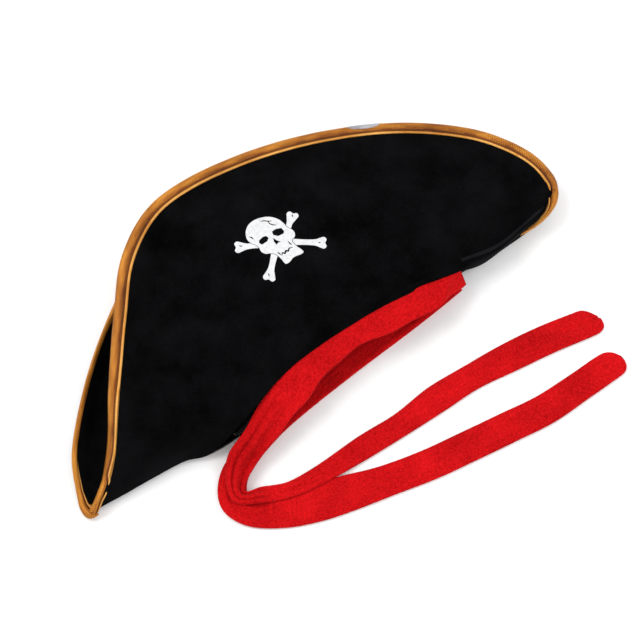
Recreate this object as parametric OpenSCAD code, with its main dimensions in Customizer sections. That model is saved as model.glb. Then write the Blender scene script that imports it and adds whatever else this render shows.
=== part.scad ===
/* [Hat] */
// Length of the hat from point to point
hat_length = 480; // [440:4:520]
// Height of the turned-up brim above the fold
flap_height = 180; // [160:2:200]
// Height of the front flap above the surface that the hat lies on
lie_height = 58; // [54:1:66]
// Thickness of one layer of velvet
velvet = 1; // [0.8:0.1:1.2]
// Thickness of the stiff interlining inside the brim
interlining = 1.4; // [1:0.1:1.6]

/* [Crown] */
// Depth of the crown from its rim to its top seam
crown_depth = 136; // [120:2:144]
// Width of the sweatband inside the rim
sweatband_width = 20; // [14:1:26]

/* [Edge braid] */
// Width of the folded braid on each face of the brim
braid_width = 9.5; // [7:0.5:11]
// Thickness of the braid on each face
braid_thickness = 1; // [0.8:0.1:1.2]
// Distance from one stitch of the braid to the next
braid_stitch_pitch = 14; // [10:1:20]

/* [Print] */
// Width of the skull with its crossed bones
print_width = 70; // [60:2:80]

/* [Scarf] */
// Thickness of the folded plush strip
plush = 2.6; // [2:0.1:3]
// Width of the tails
tail_width = 25; // [20:1:27]

/* [Hidden] */

velvet_red = [0.83, 0.07, 0.08];
velvet_black = [0.06, 0.06, 0.07];
braid_gold = [0.93, 0.58, 0.14];

// The outlines below are drawn for a hat of this length, flap height and lie, and scaled.
drawn = [480, 180, 58];
fit = [hat_length / drawn[0], flap_height / drawn[1], lie_height / drawn[2]];
fit_flat = [fit[0], fit[1], 1];
fit_tail = [fit[0], fit[1], 1, 1];

// Fold line of the front flap, from the left point to the right point.
fold_line = [
    [-230, -28, 12], [-205, -27, 19], [-180, -26, 25], [-150, -24, 31], [-118, -22, 37],
    [-80, -18.5, 41], [-30, -14, 43], [25, -10.5, 43], [80, -10, 41], [126, -14, 36],
    [162, -14, 31], [192, -12, 27], [214, -9, 23], [230, -6, 20]
];
// Free edge of the front flap, station by station with the fold line.
front_edge = [
    [-236, -27, 14], [-201, 2, 23], [-171, 44, 41], [-139, 90, 53], [-110, 128, 58],
    [-70, 155, 58], [-22, 162, 56], [42, 155, 54], [104, 137.5, 51], [159, 112.5, 47],
    [206.5, 78.5, 41], [234, 42.5, 35], [241, 14, 29], [238, -3, 24]
];
// Front rim of the head opening, and the keel under each point of the hat.
front_rim = [
    [-229, -30, 7], [-205, -29.5, 7], [-180, -29.5, 7], [-150, -31, 7], [-127, -38, 9],
    [-90, -35, 31], [-35, -18, 39], [25, -13.5, 40], [80, -13, 38], [122, -17.5, 31],
    [152, -14, 11], [175, -11, 8], [192, -10, 8], [203, -10, 9]
];
// Back rim of the head opening and the keels, seen from above: the back flap lies level.
back_rim = [
    [-228, -28.5], [-205, -28], [-180, -28], [-150, -29.5], [-126, -37],
    [-90, -35], [-35, -24], [25, -15], [80, -12], [122, -11],
    [152, -10], [175, -8], [188, -7], [196, -6]
];
// Free edge of the back flap, seen from above.
back_edge = [
    [-239.5, -28], [-226.5, 11], [-198, 50], [-159, 89.5], [-107, 129],
    [-68, 153], [-20, 160], [42, 152], [100, 134], [148, 106],
    [185, 72], [203, 40], [207, 12], [206, -4]
];
// Clear gap between two layers of cloth, and between the braid and the cloth inside it.
gap = 0.15;
braid_gap = 0.75;
// Half thicknesses, from the middle of the brim's cloth.
layer = interlining / 2;
sheet_half = layer + gap + velvet;
inner_half = sheet_half + braid_gap;
outer_half = inner_half + braid_thickness;
// Middle of the back flap above the surface: where its velvet lies flat, and inside its braid.
flat_level = sheet_half;
edge_level = outer_half;
// Share of the hat's length, at each point, where the whole back flap is at the level of its braid.
point_share = 0.14;

// Seam over the top of the crown, from its left end to its right end.
crown_top = [
    [-111, -33, 14], [-113, 5, 19], [-96, 58, 23], [-60, 98, 25], [-8, 118, 26],
    [46, 112, 25], [92, 78, 23], [119, 28, 20], [126, -12, 17]
];
crown_rim_front = [
    [-108, -36, 14], [-99, -37, 18], [-84, -33, 26], [-50, -20, 34], [0, -11.5, 38],
    [50, -9.5, 38], [90, -11, 34], [115, -14, 28], [124, -14, 20]
];
crown_rim_back = [
    [-108, -36, 10], [-99, -38, 7], [-84, -34, 5.6], [-50, -26, 5.6], [0, -18, 5.6],
    [50, -13, 5.6], [90, -11, 5.6], [115, -10, 7], [124, -12, 12]
];
drawn_crown_depth = 136;
crown_fit = [fit[0], crown_depth / drawn_crown_depth, 1];

// Two edges of each run of the scarf: the one sewn to the rim, and the free one.
band_front_sewn = [
    [124, -22, 28], [106, -20, 32.5], [84, -17.5, 36], [41, -16.5, 38], [-3, -17, 38], [-43, -22, 36.5],
    [-74, -34, 32], [-97, -44, 25], [-119, -52, 17], [-132, -69, 12], [-129, -88, 8], [-98, -104, 6]
];
band_front_free = [
    [122, -31, 22], [98, -37, 29], [77, -38, 31.5], [33, -37, 34], [-12, -39, 34], [-45, -49, 31],
    [-70, -58, 25], [-92, -65, 19], [-108, -71, 14], [-119, -78, 11], [-112, -84, 8], [-96, -88, 5.4]
];
band_back_sewn = [
    [124, -17, 5], [100, -14, 3], [70, -15, 1.5], [20, -20, 1.5], [-30, -30, 1.5], [-64, -38, 1.5],
    [-96, -47, 1.5], [-124, -53, 3], [-141, -70, 4], [-143, -92, 3], [-130, -110, 1.5], [-104, -126, 1.5]
];
band_back_free = [
    [126, -29, 5], [98, -30, 3], [66, -34, 1.5], [14, -40, 1.5], [-36, -47, 1.5], [-68, -53, 1.5],
    [-94, -61, 1.5], [-110, -70, 3], [-119, -80, 3], [-121, -91, 1.5], [-115, -100, 1.5], [-98, -108, 1.5]
];
// Middle line of each tail, with the share of the tail's width at each point.
upper_tail_line = [
    [-92, -98, 4.8, 0.68], [-58, -100, 3.6, 0.66], [-18, -98.7, 1.5, 0.8], [18, -98, 1.5, 0.82],
    [54, -95, 1.5, 0.96], [90, -94.5, 1.5, 0.93], [126, -96.5, 1.5, 1.03], [162, -99.7, 1.5, 1.05],
    [194, -104, 1.5, 1.05], [211, -107, 1.5, 0.8]
];
lower_tail_line = [
    [-92, -119.5, 1.5, 0.86], [-62, -125.5, 1.5, 1.02], [-20, -132.7, 1.5, 1.09], [18, -139.5, 1.5, 1.07],
    [54, -143.5, 1.5, 1.07], [90, -147, 1.5, 1.07], [126, -150.2, 1.5, 1.05], [162, -148.7, 1.5, 1.02],
    [188, -147, 1.5, 1], [205, -148, 1.5, 0.8]
];

// Steps along and across the sheets.
long_steps = 34;
cross_steps = 5;
fold_steps = 2;
row_power = 1.4;
crown_long_steps = 16;
crown_cross_steps = 5;
rim_steps = 28;
run_steps = 22;

// Stitches are short straight threads.
thread = 0.5;
stitch_length = 4;

print_centre = [0.5, 0.517];
print_thickness = 0.4;
print_lift = 0.9;

function mix(a, b, f) = a + (b - a) * f;
function scaled(points, by) = [for (p = points) [for (k = [0:len(p) - 1]) p[k] * by[k]]];
function unit(v) = v / norm(v);
function smooth(f) = let (c = min(max(f, 0), 1)) c * c * (3 - 2 * c);

// Point at share t of a smooth line through the points.
function along(p, t) =
    let (
        last = len(p) - 1,
        s = min(max(t, 0), 1) * last,
        i = min(floor(s), last - 1),
        f = s - i,
        a = p[max(i - 1, 0)],
        b = p[i],
        c = p[i + 1],
        d = p[min(i + 2, last)]
    )
    0.5 * (2 * b + (c - a) * f + (2 * a - 5 * b + 4 * c - d) * f * f
        + (3 * b - a - 3 * c + d) * f * f * f);

fold_fitted = scaled(fold_line, fit);
front_edge_fitted = scaled(front_edge, fit);
front_rim_fitted = scaled(front_rim, fit_flat);
back_rim_fitted = scaled(back_rim, fit_flat);
back_edge_fitted = scaled(back_edge, fit_flat);
crown_top_fitted = scaled(crown_top, crown_fit);
crown_front_fitted = scaled(crown_rim_front, crown_fit);
crown_back_fitted = scaled(crown_rim_back, crown_fit);

// Middle of the front flap: t runs along the hat, v from the fold to the free edge.
front_belly = 10;
belly_power = 0.7;
flap_off_fold = [0, 1.4, 1.4];
function front_flap(t, v) =
    let (
        from = along(fold_fitted, t) + flap_off_fold,
        to = along(front_edge_fitted, t),
        swell = front_belly * sin(180 * t) * sin(180 * pow(v, belly_power))
    )
    mix(from, to, v) + [0, 0, swell];

// The back flap rises to the level of its braid between these distances from its edge.
rise_from = 24;
rise_to = 12;
// Beside the left point its edge curls up: height share by distance from the edge.
curl_height = 14;
curl_profile = [[0, 1], [8, 0.24], [12, 0.05], [16, 0]];
curl_grows = 0.15;
curl_fades = [0.24, 0.55];
function curl_at(t) = curl_height * smooth(t / curl_grows)
    * (1 - smooth((t - curl_fades[0]) / (curl_fades[1] - curl_fades[0])));
// Shares of the back flap's width, at t, where its slope changes.
back_distances = [rise_from, 16, 12, 8];
least_shares = [0.4, 0.5, 0.6, 0.7];
function back_width(t) = norm(along(back_edge_fitted, t) - along(back_rim_fitted, t));
function back_shares(t) =
    [for (k = [0:3]) max(least_shares[k], 1 - back_distances[k] / back_width(t))];

// Middle of the back flap: it lies flat and lifts a little at its free edge and at the points.
point_slope = 1.5;
function back_flap(t, v) =
    let (
        from = along(back_rim_fitted, t),
        to = along(back_edge_fitted, t),
        at = mix(from, to, v),
        distance = (1 - v) * back_width(t),
        near_edge = smooth((rise_from - distance) / (rise_from - rise_to)),
        near_point = smooth(max(point_share - t, t - 1 + point_share) / point_share * point_slope),
        curl = curl_at(t) * lookup(distance, curl_profile)
    )
    [at[0], at[1], mix(flat_level, edge_level, max(near_edge, near_point)) + curl];

// Middle of the turned-under strip between the fold and the rim or keel.
fold_bulge = 1.5;
strip_off_fold = [0, -1.6, -1.6];
function fold_strip(t, v) =
    let (
        from = along(fold_fitted, t) + strip_off_fold,
        to = along(front_rim_fitted, t)
    )
    mix(from, to, v) + [0, -fold_bulge * sin(180 * t) * sin(180 * v), 0];

// One panel of the crown: it stays low near the rim and rises towards the top seam.
crown_power = 3;
function crown_side(rim, t, v) =
    let (
        from = along(rim, t),
        to = along(crown_top_fitted, t),
        at = mix(from, to, v)
    )
    [at[0], at[1], from[2] + (to[2] - from[2]) * pow(v, crown_power)];
crown_swell = 5;
crown_front_lift = 1.2;
crown_back_drop = 0.8;
function crown_front_at(t, v) = crown_side(crown_front_fitted, t, v)
    + [0, 0, crown_front_lift + crown_swell * sin(180 * t) * sin(180 * v)];
function crown_back_at(t, v) = crown_side(crown_back_fitted, t, v) - [0, 0, crown_back_drop * v * v];

// Unit normal of a sheet at one point of its grid, from the points around it.
function grid_normal(g, i, j) =
    let (
        ni = len(g) - 1,
        nj = len(g[0]) - 1,
        a = g[min(i + 1, ni)][j] - g[max(i - 1, 0)][j],
        b = g[i][min(j + 1, nj)] - g[i][max(j - 1, 0)]
    )
    unit(cross(a, b));

function flat_list(g) = [for (row = g) each row];
// Faces of the closed solid between two copies of a grid of ni by nj points.
function sheet_faces(ni, nj, looped) =
    let (
        half = ni * nj,
        last = looped ? ni : ni - 1
    )
    [
        for (i = [0:last - 1], j = [0:nj - 2])
            let (a = i * nj + j, b = ((i + 1) % ni) * nj + j)
            each [
                [a, a + 1, b + 1], [a, b + 1, b],
                [half + a, half + b + 1, half + a + 1], [half + a, half + b, half + b + 1]
            ],
        for (i = [0:last - 1])
            let (a = i * nj, b = ((i + 1) % ni) * nj, c = a + nj - 1, d = b + nj - 1)
            each [
                [a, b, half + b], [a, half + b, half + a],
                [c, half + c, half + d], [c, half + d, d]
            ],
        if (!looped)
            for (j = [0:nj - 2])
                let (a = j, b = (ni - 1) * nj + j)
                each [
                    [a, half + a, half + a + 1], [a, half + a + 1, a + 1],
                    [b, b + 1, half + b + 1], [b, half + b + 1, half + b]
                ]
    ];
// Closed solid between two offsets of a grid of points.
module sheet(g, low, high, looped = false) {
    ni = len(g);
    nj = len(g[0]);
    normals = [for (i = [0:ni - 1]) [for (j = [0:nj - 1]) grid_normal(g, i, j)]];
    over = [for (i = [0:ni - 1]) [for (j = [0:nj - 1]) g[i][j] + normals[i][j] * high]];
    under = [for (i = [0:ni - 1]) [for (j = [0:nj - 1]) g[i][j] + normals[i][j] * low]];
    polyhedron(concat(flat_list(over), flat_list(under)), sheet_faces(ni, nj, looped));
}

front_grid = [for (i = [0:long_steps]) [for (j = [0:cross_steps])
    front_flap(i / long_steps, pow(j / cross_steps, row_power))]];
back_grid = [for (i = [0:long_steps])
    let (t = i / long_steps, s = back_shares(t))
    [for (v = [0, s[0] / 2, s[0], s[1], s[2], s[3], 1]) back_flap(t, v)]];
fold_grid = [for (i = [0:long_steps]) [for (j = [0:fold_steps])
    fold_strip(i / long_steps, j / fold_steps)]];

module brim_front_velvet() {
    color(velvet_black) sheet(front_grid, layer + gap, layer + gap + velvet);
}
module brim_front_interlining() {
    color("dimgray") sheet(front_grid, -layer, layer);
}
module brim_front_lining() {
    color(velvet_black) sheet(front_grid, -layer - gap - velvet, -layer - gap);
}
module brim_back_velvet() {
    color(velvet_black) sheet(back_grid, -layer - gap - velvet, -layer - gap);
}
module brim_back_interlining() {
    color("dimgray") sheet(back_grid, -layer, layer);
}
module brim_back_lining() {
    color(velvet_black) sheet(back_grid, layer + gap, layer + gap + velvet);
}
module brim_fold() {
    color(velvet_black) sheet(fold_grid, -velvet, velvet);
}

crown_front_grid = [for (i = [0:crown_long_steps]) [for (j = [0:crown_cross_steps])
    crown_front_at(i / crown_long_steps, j / crown_cross_steps)]];
crown_back_grid = [for (i = [0:crown_long_steps]) [for (j = [0:crown_cross_steps])
    crown_back_at(i / crown_long_steps, j / crown_cross_steps)]];
module crown_front() {
    color(velvet_black) sheet(crown_front_grid, gap, gap + velvet);
}
module crown_back() {
    color(velvet_black) sheet(crown_back_grid, -gap - velvet, -gap);
}

// The sweatband lies inside the rim, all the way round it.
band_share = sweatband_width / crown_depth;
sweatband_ends = [0.06, 0.94];
sweatband_inset = 1.2;
sweatband_start = 0.02;
function sweatband_at(share, v) =
    let (
        ahead = share < 0.5,
        s = ahead ? share * 2 : 2 - share * 2,
        t = mix(sweatband_ends[0], sweatband_ends[1], s),
        at = ahead ? crown_front_at(t, v) : crown_back_at(t, v)
    )
    at + [0, 0, ahead ? -sweatband_inset : sweatband_inset];
sweatband_grid = [for (i = [0:rim_steps - 1]) [for (j = [0:1])
    sweatband_at(i / rim_steps, sweatband_start + band_share * j)]];
sweatband_thickness = 0.7;
module sweatband() {
    color("dimgray") sheet(sweatband_grid, -sweatband_thickness, 0, true);
}

// One straight thread between two points.
module thread_between(a, b) {
    way = b - a;
    turn = [0, acos(way[2] / norm(way)), atan2(way[1], way[0])];
    translate(a) rotate(turn) cylinder(h = norm(way), r = thread / 2, $fn = 16);
}
rim_stitches_each_side = 14;
rim_stitch_ends = [0.14, 0.86];
rim_stitch_row = 0.04;
stitch_clear = 0.8;
module rim_stitches() {
    color("black")
    for (side = [-1, 1], k = [0:rim_stitches_each_side - 1]) {
        t = mix(rim_stitch_ends[0], rim_stitch_ends[1], k / (rim_stitches_each_side - 1));
        step = stitch_length / hat_length;
        drop = [0, 0, -side * (sweatband_inset + sweatband_thickness + stitch_clear)];
        row = rim_stitch_row;
        a = side > 0 ? crown_front_at(t, row) : crown_back_at(t, row);
        b = side > 0 ? crown_front_at(t + step, row) : crown_back_at(t + step, row);
        thread_between(a + drop, b + drop);
    }
}
top_stitches = 22;
top_stitch_ends = [0.08, 0.92];
close_by = 0.01;
module crown_top_stitches() {
    color("black")
    for (k = [0:top_stitches - 1]) {
        t = mix(top_stitch_ends[0], top_stitch_ends[1], k / (top_stitches - 1));
        at = along(crown_top_fitted, t);
        way = unit(along(crown_top_fitted, t + close_by) - along(crown_top_fitted, t - close_by));
        outward = [-way[1], way[0], 0];
        foot = at + outward * (thread + stitch_clear);
        thread_between(foot - [0, 0, stitch_length / 2], foot + [0, 0, stitch_length / 2]);
    }
}

// The braid is folded over the edge: a channel with one leg on each face of the brim.
edge_clear = 0.5;
function channel(leg) = [
    [-leg, outer_half], [edge_clear, outer_half], [edge_clear + braid_thickness, 0],
    [edge_clear, -outer_half], [-leg, -outer_half], [-leg, -inner_half],
    [edge_clear, -inner_half], [edge_clear, inner_half], [-leg, inner_half]
];
// Unit vectors at the edge of a flap: along it, out of the cloth, and square to the cloth.
function edge_frame(here, next, before, inside) =
    let (
        way = unit(next - before),
        across = here - inside,
        out = unit(across - way * (across * way)),
        up = cross(way, out)
    )
    [way, out, up];
// The braid follows the last row of the flap's facets.
last_row = pow(1 - 1 / cross_steps, row_power);
back_row = 0.98;
reach = 1 / long_steps;
function front_frame(t) = edge_frame(front_flap(t, 1), front_flap(min(t + reach, 1), 1),
    front_flap(max(t - reach, 0), 1), front_flap(t, last_row));
function back_frame(t) = edge_frame(back_flap(t, 1), back_flap(min(t + reach, 1), 1),
    back_flap(max(t - reach, 0), 1), back_flap(t, back_row));
function ring(at, frame, outline) =
    [for (q = outline) at + frame[1] * q[0] + frame[2] * q[1]];
// The legs are short at the points, where the cloth turns sharply.
short_leg = 2.6;
leg_growth = 24;
function leg_at(t) = min(braid_width, short_leg + leg_growth * min(t, 1 - t));
// A channel's two end faces, in triangles, because its outline isn't convex.
channel_ends = [[0, 8, 7], [0, 7, 1], [1, 7, 2], [2, 7, 6], [2, 6, 3], [3, 6, 5], [3, 5, 4]];
// Bar through a list of channel outlines.
module channel_bar(rings) {
    n = len(rings);
    m = len(rings[0]);
    sides = [
        for (i = [0:n - 2], j = [0:m - 1])
            let (a = i * m + j, b = i * m + (j + 1) % m)
            each [[a, b, b + m], [a, b + m, a + m]]
    ];
    end = (n - 1) * m;
    first = [for (f = channel_ends) [f[0], f[1], f[2]]];
    final = [for (f = channel_ends) [end + f[0], end + f[2], end + f[1]]];
    polyhedron(flat_list(rings), concat(sides, first, final));
}
module braid_front() {
    rings = [for (i = [0:long_steps])
        let (t = i / long_steps)
        ring(front_flap(t, 1), front_frame(t), channel(leg_at(t)))];
    color(braid_gold) channel_bar(rings);
}
module braid_back() {
    rings = [for (i = [0:long_steps])
        let (t = i / long_steps)
        ring(back_flap(t, 1), back_frame(t), channel(leg_at(t)))];
    color(braid_gold) channel_bar(rings);
}
// The two ends of the braid overlap in a short second layer.
join_from = 0.635;
join_to = 0.66;
join_steps = 3;
join_clear = 0.2;
join_thickness = 0.6;
module braid_join() {
    low = outer_half + join_clear;
    high = low + join_thickness;
    nose = edge_clear + braid_thickness + join_clear;
    shoulder = nose + join_thickness / 2;
    outline = [
        [-braid_width, high], [shoulder, high], [nose + join_thickness, 0],
        [shoulder, -high], [-braid_width, -high], [-braid_width, -low],
        [nose, -low], [nose, low], [-braid_width, low]
    ];
    rings = [for (i = [0:join_steps])
        let (t = mix(join_from, join_to, i / join_steps))
        ring(front_flap(t, 1), front_frame(t), outline)];
    color("silver") channel_bar(rings);
}
// Length of one flap's edge, as a share of the hat's length.
edge_share = 1.1;
edge_stitch_count = floor(edge_share * hat_length / braid_stitch_pitch);
edge_stitch_ends = [0.07, 0.93];
stitch_inset = 2;
join_margin = 0.015;
module edge_stitches(front) {
    for (k = [0:edge_stitch_count - 1]) {
        t = mix(edge_stitch_ends[0], edge_stitch_ends[1], k / (edge_stitch_count - 1));
        frame = front ? front_frame(t) : back_frame(t);
        at = front ? front_flap(t, 1) : back_flap(t, 1);
        lift = outer_half + stitch_clear;
        foot = at - frame[1] * (braid_width - stitch_inset) + frame[2] * lift;
        half = frame[0] * stitch_length / 2;
        if (t < join_from - join_margin || t > join_to + join_margin)
            thread_between(foot - half, foot + half);
    }
}
module braid_stitches_front() {
    color("darkgoldenrod") edge_stitches(true);
}
module braid_stitches_back() {
    color("darkgoldenrod") edge_stitches(false);
}

// The print: a skull over two crossed bones, drawn about its middle at this width.
drawn_print_width = 70;
knob_radius = 3.4;
knob_apart = 3;
shaft_half = 2.6;
module bone(a, b) {
    way = b - a;
    translate(a) rotate(atan2(way[1], way[0])) {
        translate([0, -shaft_half]) square([norm(way), 2 * shaft_half]);
        for (x = [0, norm(way)], y = [-knob_apart, knob_apart])
            translate([x, y]) circle(r = knob_radius, $fn = 32);
    }
}
module skull_outline() {
    difference() {
        union() {
            bone([-29, 10], [33, -19]);
            bone([-17, -21], [27, 13]);
            translate([0, 5]) circle(r = 19, $fn = 48);
            polygon([
                [-15, 0], [15, 0], [13, -12], [9, -15],
                [8, -23], [-8, -23], [-9, -15], [-13, -12]
            ]);
        }
        polygon([[-13, 3], [-3, 0], [-4, -6], [-11, -6]]);
        polygon([[13, 3], [3, 0], [4, -6], [11, -6]]);
        polygon([[0, -5], [-3, -11], [3, -11]]);
        polygon([
            [-8, -15], [-4, -16.5], [0, -15], [4, -16.5],
            [8, -15], [4, -17.8], [0, -16.3], [-4, -17.8]
        ]);
    }
}
module skull_print() {
    near = 0.02;
    at = front_flap(print_centre[0], print_centre[1]);
    east = front_flap(print_centre[0] + near, print_centre[1]) - at;
    north = front_flap(print_centre[0], print_centre[1] + near) - at;
    up = unit(cross(east, north));
    tilt_x = -atan2(up[1], up[2]);
    tilt_y = asin(up[0]);
    color("white")
    translate(at + up * (sheet_half + print_lift)) rotate([tilt_x, tilt_y, 0])
        linear_extrude(print_thickness) scale(print_width / drawn_print_width) skull_outline();
}

// A run of the scarf: plush folded double, between the two edges of its strip.
function run_grid(a, b, steps) =
    [for (i = [0:steps]) [for (v = [0, 0.5, 1]) mix(along(a, i / steps), along(b, i / steps), v)]];
band_front_grid =
    run_grid(scaled(band_front_sewn, fit_flat), scaled(band_front_free, fit_flat), run_steps);
band_back_grid =
    run_grid(scaled(band_back_sewn, fit_flat), scaled(band_back_free, fit_flat), run_steps);
module scarf_band_front() {
    color(velvet_red) sheet(band_front_grid, -plush / 2, plush / 2);
}
module scarf_band_back() {
    color(velvet_red) sheet(band_back_grid, -plush / 2, plush / 2);
}
tail_steps = 18;
function tail_grid(line) =
    [for (i = [0:tail_steps])
        let (
            t = i / tail_steps,
            at = along(line, t),
            way = along(line, t + close_by) - along(line, t - close_by),
            side = unit([-way[1], way[0], 0]),
            half = tail_width / 2 * at[3]
        )
        [for (v = [-1, 0, 1]) [at[0], at[1], at[2]] + side * half * v]];
module scarf_tail_upper() {
    color(velvet_red)
        sheet(tail_grid(scaled(upper_tail_line, fit_tail)), -plush / 2, plush / 2);
}
module scarf_tail_lower() {
    color(velvet_red)
        sheet(tail_grid(scaled(lower_tail_line, fit_tail)), -plush / 2, plush / 2);
}
// Tack stitches lie on the front run where the tails leave, between these shares of its width.
tack_places = [15, 16, 17];
tack_shares = [0.2, 0.35];
tack_lift = plush / 2 + 1;
module scarf_tack_stitches() {
    color("darkred")
    for (k = tack_places) {
        n = grid_normal(band_front_grid, k, 0);
        up = n * sign(n[2]) * tack_lift;
        row = band_front_grid[k];
        thread_between(mix(row[0], row[2], tack_shares[0]) + up, mix(row[0], row[2], tack_shares[1]) + up);
    }
}

brim_front_velvet();
brim_front_interlining();
brim_front_lining();
brim_back_velvet();
brim_back_interlining();
brim_back_lining();
brim_fold();
crown_front();
crown_back();
crown_top_stitches();
sweatband();
rim_stitches();
braid_front();
braid_back();
braid_join();
braid_stitches_front();
braid_stitches_back();
skull_print();
scarf_band_front();
scarf_band_back();
scarf_tail_upper();
scarf_tail_lower();
scarf_tack_stitches();
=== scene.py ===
"""Pirate hat: velvet brim with folded braid, skull print and a plush scarf, lying on a pale floor."""
import math

import bmesh
import bpy
import numpy as np
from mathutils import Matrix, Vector, noise
from mathutils.bvhtree import BVHTree


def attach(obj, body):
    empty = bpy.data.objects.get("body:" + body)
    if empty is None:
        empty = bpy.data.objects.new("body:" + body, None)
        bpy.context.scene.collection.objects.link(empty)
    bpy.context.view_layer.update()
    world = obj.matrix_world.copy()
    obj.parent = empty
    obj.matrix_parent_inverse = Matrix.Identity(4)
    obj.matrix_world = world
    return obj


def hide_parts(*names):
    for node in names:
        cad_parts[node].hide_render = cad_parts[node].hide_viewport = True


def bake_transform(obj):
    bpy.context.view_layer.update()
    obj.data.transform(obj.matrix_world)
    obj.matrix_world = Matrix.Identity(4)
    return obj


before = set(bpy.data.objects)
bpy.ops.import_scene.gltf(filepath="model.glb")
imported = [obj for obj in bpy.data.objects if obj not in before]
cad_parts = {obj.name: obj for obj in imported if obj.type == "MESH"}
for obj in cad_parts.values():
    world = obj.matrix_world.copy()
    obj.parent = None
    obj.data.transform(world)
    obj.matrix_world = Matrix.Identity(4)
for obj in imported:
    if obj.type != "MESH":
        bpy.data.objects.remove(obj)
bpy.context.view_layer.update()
MM = 0.001

# ---- the hat's main lines, in millimetres
FOLD = [
    (-230, -28, 12), (-205, -27, 19), (-180, -26, 25), (-150, -24, 31), (-118, -22, 37),
    (-80, -18, 41), (-30, -13.5, 43), (25, -10, 43), (80, -9.5, 41), (126, -13.5, 36),
    (162, -17, 31), (192, -11.5, 27), (214, -6, 23.5), (229, -3, 20),
]
FRONT_EDGE = [
    (-231, -27.8, 11.6), (-198, 3, 23), (-171, 44, 41), (-139, 90, 53), (-110, 128, 58),
    (-70, 155, 58), (-22, 162, 56), (42, 155, 54), (104, 137.5, 51), (159, 112.5, 47),
    (206.5, 78.5, 41), (234, 42.5, 35), (241.5, 14, 29), (236.5, -2.5, 24),
]
FRONT_RIM = [
    (-229, -30, 6.3), (-205, -29.5, 5), (-180, -29.5, 4.6), (-150, -31, 4.8), (-127, -38, 8),
    (-90, -34, 31), (-35, -17, 39), (25, -12.8, 40), (80, -12.2, 38), (122, -17, 31),
    (152, -14, 8), (175, -11, 4.8), (192, -10, 5.5), (203, -10, 6.3),
]
BACK_RIM = [
    (-228, -28.5, 2), (-205, -28, 2), (-180, -28, 2), (-150, -29.5, 2), (-126, -37, 2),
    (-90, -35, 2), (-35, -24, 2), (25, -15, 2), (80, -12, 2), (122, -11, 2),
    (152, -10, 2), (175, -8, 2), (188, -7, 2), (196, -6, 2),
]
BACK_EDGE = [
    (-241, -25.5, 4), (-226.6, 12, 4), (-198.4, 49.3, 4), (-159, 89.2, 4), (-107, 129, 4),
    (-68, 153, 4), (-20, 160, 4), (42, 152, 4), (100, 134, 4), (148, 106, 4),
    (185, 72, 4), (203, 40, 4), (207, 12, 4), (206, -4, 4),
]
CROWN_TOP = [
    (-111, -33, 14), (-113, 5, 19), (-96, 58, 23), (-60, 98, 25), (-8, 118, 26),
    (46, 112, 25), (92, 78, 23), (119, 28, 20), (126, -12, 17),
]
CROWN_RIM_FRONT = [
    (-108, -36, 14), (-99, -37, 18), (-84, -34, 26), (-50, -23, 34), (0, -15, 38),
    (50, -14, 38), (90, -16, 34), (115, -16, 28), (124, -14, 20),
]
CROWN_RIM_BACK = [
    (-108, -36, 10), (-99, -38, 7), (-84, -34, 5.6), (-50, -26, 5.6), (0, -18, 5.6),
    (50, -13, 5.6), (90, -11, 5.6), (115, -10, 7), (124, -12, 12),
]
# Each scarf strip by its two edges: round the rim first, then out along its tail.
FRONT_STRIP_SEWN = [
    (127, -17, 31), (106, -16.5, 34), (84, -14, 37), (41, -13.5, 39), (-3, -15.5, 39.5), (-43, -20, 37.5),
    (-74, -29, 32), (-97, -41, 24), (-119, -50, 16), (-132, -68, 10.5), (-133, -86, 6.8), (-110, -98.5, 5.2),
    (-85, -106, 4.4), (-55, -108.6, 3.2), (-18, -109, 1.9), (18, -108.5, 1.7), (54, -107.5, 1.7),
    (90, -106, 1.7), (126, -109.5, 1.7), (162, -113, 1.7), (197, -118, 1.7), (214, -119, 1.7),
]
FRONT_STRIP_FREE = [
    (127, -28, 19), (98, -36, 29.5), (77, -35.5, 31.5), (33, -33.5, 33.5), (-12, -36.5, 33.5), (-46, -48, 30),
    (-70, -57.5, 23), (-92, -64, 16.5), (-107, -70, 12.5), (-119.5, -77.5, 10), (-120, -82, 7.5),
    (-106, -85, 5.8),
    (-88, -91.5, 4.6), (-60, -92, 3.2), (-18, -88.5, 1.9), (18, -88, 1.7), (54, -83, 1.7),
    (90, -83, 1.7), (126, -83.5, 1.7), (162, -86.5, 1.7), (196, -92, 1.7), (207, -94.5, 1.7),
]
BACK_STRIP_SEWN = [
    (124, -17, 5), (100, -14, 3), (70, -15, 1.8), (20, -20, 1.8), (-30, -30, 1.8), (-64, -38, 1.8),
    (-96, -46, 2.5), (-122, -51, 5), (-139.5, -67, 4.5), (-144.5, -86, 3.2), (-134, -106, 2.2),
    (-110, -122.5, 1.8),
    (-82, -133.5, 1.7), (-52, -140.5, 1.7), (-18, -146.5, 1.7), (18, -153, 1.7), (54, -157, 1.7),
    (90, -160.5, 1.7), (126, -163.5, 1.7), (162, -161.5, 1.7), (192, -159.5, 1.7), (208, -158, 1.7),
]
BACK_STRIP_FREE = [
    (126, -26, 5), (98, -30, 3), (66, -34, 1.8), (14, -40, 1.8), (-36, -47, 1.8), (-68, -53, 1.8),
    (-94, -61.5, 2), (-110, -69.5, 3), (-119, -79, 3), (-121, -90, 2.6), (-112, -95, 2), (-98, -97, 1.7),
    (-76, -101, 1.7), (-48, -109.5, 1.7), (-18, -119, 1.7), (18, -126, 1.7), (54, -130, 1.7),
    (90, -133.5, 1.7), (126, -137, 1.7), (162, -136, 1.7), (188, -134.5, 1.7), (204, -135.5, 1.7),
]
# Half thicknesses of the brim: interlining, then a gap and a layer of velvet.
STIFF_HALF = 0.7
CLOTH_HALF = 1.85


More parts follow.
